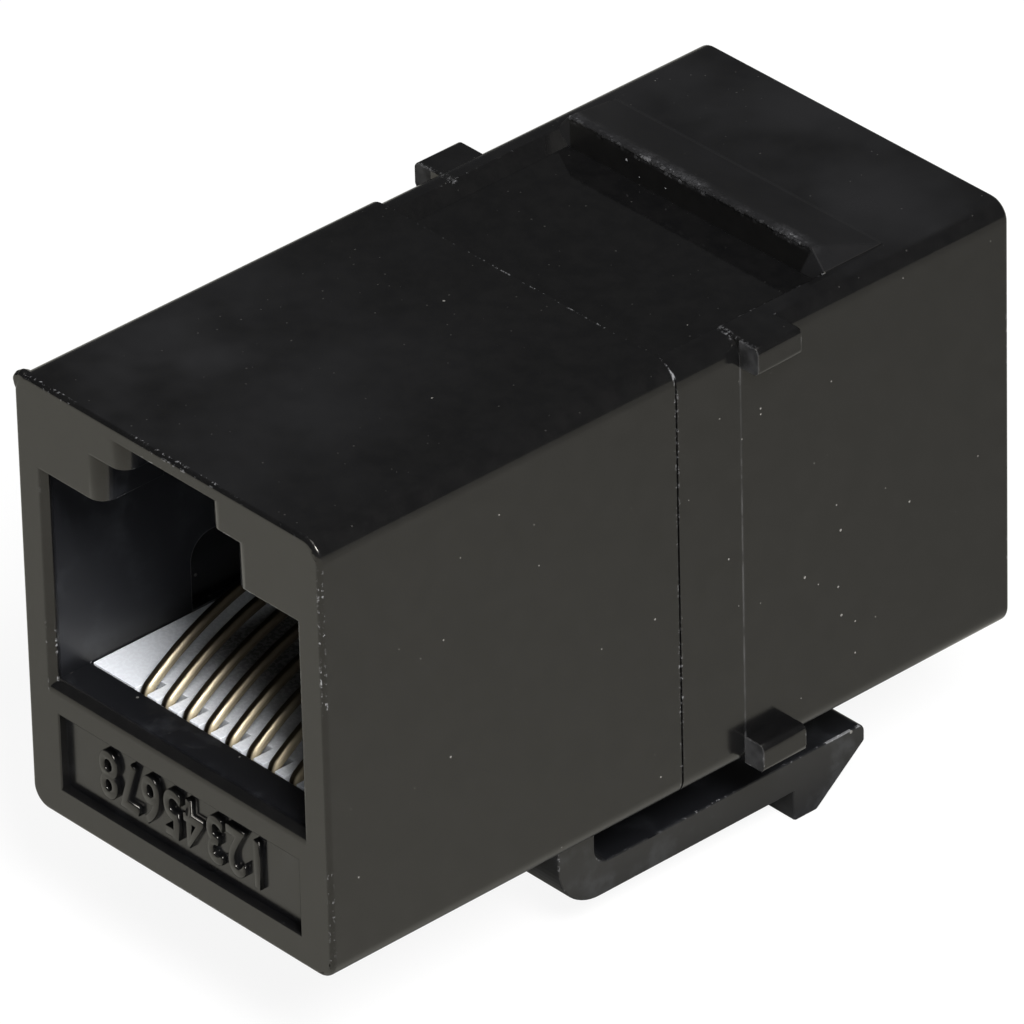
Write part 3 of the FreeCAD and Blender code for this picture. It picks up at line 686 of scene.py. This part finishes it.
def dress(node, materials, edge=None, reshaped=None):
    """Gives a node its finish and, if they are given, a change of shape and rounded edges."""
    part = nodes[node]
    part.data.materials.clear()
    for material in materials:
        part.data.materials.append(material)
    for face in part.data.polygons:
        face.material_index = 0
    part.modifiers.new("weld", "WELD").merge_threshold = WELD_REACH * MM
    if reshaped:
        part.modifiers.new("reshaping", "NODES").node_group = reshaped
    if edge:
        add_rounding(part, edge, 1 if len(materials) > 1 else None)


def dress_nodes(plastic, edges):
    white = white_plastic()
    gold = gold_wire()
    dress("cable_side_housing", [plastic, edges], HOUSING_EDGE, tucked())
    dress("panel_side_housing", [plastic, edges], HOUSING_EDGE)
    for node in ("cable_side_carrier", "panel_side_carrier"):
        dress(node, [white], CARRIER_EDGE)
    dress("circuit_board", [green_board()])
    for node in nodes:
        if "_contact_" in node:
            dress(node, [gold])
            rounder = nodes[node].modifiers.new("rounder", "SUBSURF")
            rounder.levels = 1
            rounder.render_levels = 1


# New pieces

def new_piece(name, mesh, materials):
    piece = add_object(name, mesh)
    for material in materials:
        mesh.materials.append(material)
    return piece


def mesh_from(solid, name, smooth=False):
    mesh = bpy.data.meshes.new(name)
    solid.to_mesh(mesh)
    solid.free()
    for face in mesh.polygons:
        face.use_smooth = smooth
    return mesh


def final_mesh(holder):
    """The mesh of an object with its modifiers applied. The object itself is removed."""
    mesh = bpy.data.meshes.new_from_object(holder.evaluated_get(bpy.context.evaluated_depsgraph_get()))
    bpy.data.objects.remove(holder)
    return mesh


def arc(centre, radius, start, end, steps):
    """Points of an arc in the plane, from one angle to another in degrees."""
    turns = [math.radians(start + (end - start) * i / steps) for i in range(steps + 1)]
    return [(centre[0] + radius * math.cos(turn), centre[1] + radius * math.sin(turn)) for turn in turns]


def run(start, end, longest):
    """Points between two ends of a straight run, the ends left out, no further apart than the given length."""
    count = max(1, math.ceil(math.dist(start, end) / longest))
    return [tuple(a + (b - a) * i / count for a, b in zip(start, end)) for i in range(1, count)]


def loft(name, sections):
    """A closed mesh through sections of equal count, each a list of points in millimetres."""
    solid = bmesh.new()
    rings = [[solid.verts.new(Vector(point) * MM) for point in section] for section in sections]
    count = len(rings[0])
    for first, second in zip(rings, rings[1:]):
        for i in range(count):
            j = (i + 1) % count
            solid.faces.new((first[i], first[j], second[j], second[i]))
    solid.faces.new(rings[0])
    solid.faces.new(rings[-1])
    bmesh.ops.recalc_face_normals(solid, faces=solid.faces)
    return mesh_from(solid, name)


# Latch: the post, arm and hook are one moulding; the real latch bends at the foot of the post

LATCH_PROUD = 0.04
LATCH_ROOT_TOP = -8.0
POST_THICKNESS = 1.5
ARM_TOP = -10.3
ARM_BOTTOM = -11.55
OUTER_ROUND, OUTER_STEPS = 1.75, 14
INNER_ROUND, INNER_STEPS = 0.6, 8
HOOK_NEAR = 1.53
HOOK_FLAT = 1.05
HOOK_ROUND, HOOK_STEPS = 0.15, 5
TIP_HEIGHT = 0.68
TIP_ROUND, TIP_STEPS = 0.3, 6
BEND_STEP = 0.35
LATCH_EDGE = 0.06


def latch_outline(near, tip, bottom):
    """Side view of post, arm and hook in Y and Z, from the root inside the base to the tip and back."""
    post_near = near - LATCH_PROUD
    post_far = near + POST_THICKNESS + LATCH_PROUD
    corners = [(post_near, LATCH_ROOT_TOP)]
    corners += arc((post_near + OUTER_ROUND, ARM_BOTTOM + OUTER_ROUND), OUTER_ROUND, 180, 270, OUTER_STEPS)
    corners += run(corners[-1], (HOOK_NEAR, ARM_BOTTOM), BEND_STEP) + [(HOOK_NEAR, ARM_BOTTOM)]
    corners += arc((HOOK_NEAR + HOOK_ROUND, bottom + HOOK_ROUND), HOOK_ROUND, 180, 270, HOOK_STEPS)
    corners += [(HOOK_NEAR + HOOK_FLAT, bottom), (tip, ARM_TOP - TIP_HEIGHT)]
    corners += arc((tip - TIP_ROUND, ARM_TOP - TIP_ROUND), TIP_ROUND, 0, 90, TIP_STEPS)
    inner = arc((post_far + INNER_ROUND, ARM_TOP + INNER_ROUND), INNER_ROUND, 270, 180, INNER_STEPS)
    corners += run(corners[-1], inner[0], BEND_STEP) + inner
    return corners + [(post_far, LATCH_ROOT_TOP)]


def add_latch(plastic, edges):
    low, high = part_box("panel_latch")
    near, tip, bottom = low[1] / MM, high[1] / MM, low[2] / MM
    half_width = high[0] / MM + LATCH_PROUD
    outline = latch_outline(near, tip, bottom)
    sides = [[(x, y, z) for y, z in outline] for x in (-half_width, half_width)]
    blank = add_object("latch_blank", loft("latch_blank", sides))
    blank.data.materials.append(plastic)
    blank.data.materials.append(edges)
    add_rounding(blank, LATCH_EDGE, 1)
    latch = new_piece("latch", final_mesh(blank), [])
    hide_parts("panel_latch")
    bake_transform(latch)


# Raised pin numbers in the field below the port, upside down as the part stands

PIN_COUNT = 8
PIN_PITCH = 1.02
NUMBER_HEIGHT = 1.80
NUMBER_NARROWING = 0.74
NUMBER_RISE = 0.20
NUMBER_SUNK = 0.03
NUMBER_EDGE = 0.06
NUMBER_MIDDLE = -5.40
FONT_CAPITALS = 0.72
FIELD_DEPTH = 0.32
FIELD_FACE = cad_box[0][1] + FIELD_DEPTH * MM


def number_mesh(text):
    """One raised numeral in millimetres about its own middle, lying in X and Y and rising along Z."""
    face = bpy.data.curves.new("numeral", "FONT")
    face.body = text
    face.align_x = "CENTER"
    face.align_y = "CENTER"
    face.size = NUMBER_HEIGHT / FONT_CAPITALS
    face.extrude = (NUMBER_RISE + NUMBER_SUNK) / 2 - NUMBER_EDGE
    face.bevel_depth = NUMBER_EDGE
    face.bevel_resolution = 2
    face.resolution_u = 6
    return final_mesh(add_object("numeral", face))


def add_pin_numbers(plastic):
    field = bmesh.new()
    upside_down = Matrix.Rotation(math.pi / 2, 4, "X") @ Matrix.Rotation(math.pi, 4, "Z")
    narrowed = Matrix.Diagonal((NUMBER_NARROWING * MM, MM, MM, 1))
    depth = FIELD_FACE - (NUMBER_RISE - NUMBER_SUNK) / 2 * MM
    for pin in range(1, PIN_COUNT + 1):
        mesh = number_mesh(str(pin))
        x = PIN_PITCH * ((PIN_COUNT + 1) / 2 - pin) * MM
        mesh.transform(Matrix.Translation((x, depth, NUMBER_MIDDLE * MM)) @ upside_down @ narrowed)
        field.from_mesh(mesh)
        bpy.data.meshes.remove(mesh)
    bmesh.ops.remove_doubles(field, verts=field.verts, dist=WELD_REACH * MM)
    piece = new_piece("pin_numbers", mesh_from(field, "pin_numbers", smooth=True), [plastic])
    shade_flat_faces(piece)
    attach(piece, "housing")


# Moulding flaws: the ragged flash along the ridge and a nib at the near corner

FLASH_SEED = 5
FLASH_STEP = 0.07
FLASH_TOP = 8.69
FLASH_REACH = 0.08
FLASH_LEAST = 0.35
FLASH_WAVE = 0.9
FLASH_ROW = (3.1, 0.4)
LEAST_FALL, MORE_FALL = 0.05, 0.14


def add_flash(plastic):
    """A ragged lip along the ridge's crest, hanging over its near face."""
    draw = random.Random(FLASH_SEED)
    sections = []
    count = round(2 * RIDGE_HALF / FLASH_STEP)
    for i in range(count + 1):
        x = -RIDGE_HALF + 2 * RIDGE_HALF * i / count
        wave = 0.5 + 0.5 * noise.noise(Vector((x * FLASH_WAVE, *FLASH_ROW)))
        swell = FLASH_LEAST + (1 - FLASH_LEAST) * wave
        reach = FLASH_REACH * swell * draw.uniform(0.25, 1.0)
        fall = LEAST_FALL + MORE_FALL * swell * draw.uniform(0.2, 1.0)
        sections.append([(x, RIDGE_FACE + 0.06, FLASH_TOP - 0.01),
                         (x, RIDGE_FACE - reach * 0.7, FLASH_TOP - draw.uniform(0.0, 0.03)),
                         (x, RIDGE_FACE - reach, FLASH_TOP - 0.5 * fall),
                         (x, RIDGE_FACE + 0.03, FLASH_TOP - fall)])
    piece = new_piece("ridge_flash", loft("ridge_flash", sections), [plastic])
    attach(piece, "housing")


NIB_PLACE = (-6.88, -19.45, 7.74)
NIB_SIZE = (0.46, 0.36, 0.46)
NIB_FRONT = -19.69
NIB_SWELL = 0.12
NIB_WAVE = 1.7


def add_nib(plastic):
    """A flat-fronted bead of plastic that fills the rounding of the near top corner."""
    bead = bmesh.new()
    bmesh.ops.create_icosphere(bead, subdivisions=4, radius=1.0)
    for vertex in bead.verts:
        swell = 1 + NIB_SWELL * noise.noise(vertex.co * NIB_WAVE)
        x, y, z = (p + s * c * swell for p, s, c in zip(NIB_PLACE, NIB_SIZE, vertex.co))
        vertex.co = Vector((x, max(y, NIB_FRONT), z)) * MM
    piece = new_piece("corner_nib", mesh_from(bead, "corner_nib", smooth=True), [plastic])
    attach(piece, "housing")


bpy.context.scene.view_settings.view_transform = "Standard"
add_floor()
add_light()
add_camera()
black = black_plastic("black_plastic", worn=False)
black_edge = black_plastic("black_plastic_edge", worn=True)
dress_nodes(black, black_edge)
add_latch(black, black_edge)
add_pin_numbers(black)
add_flash(black)
add_nib(black)
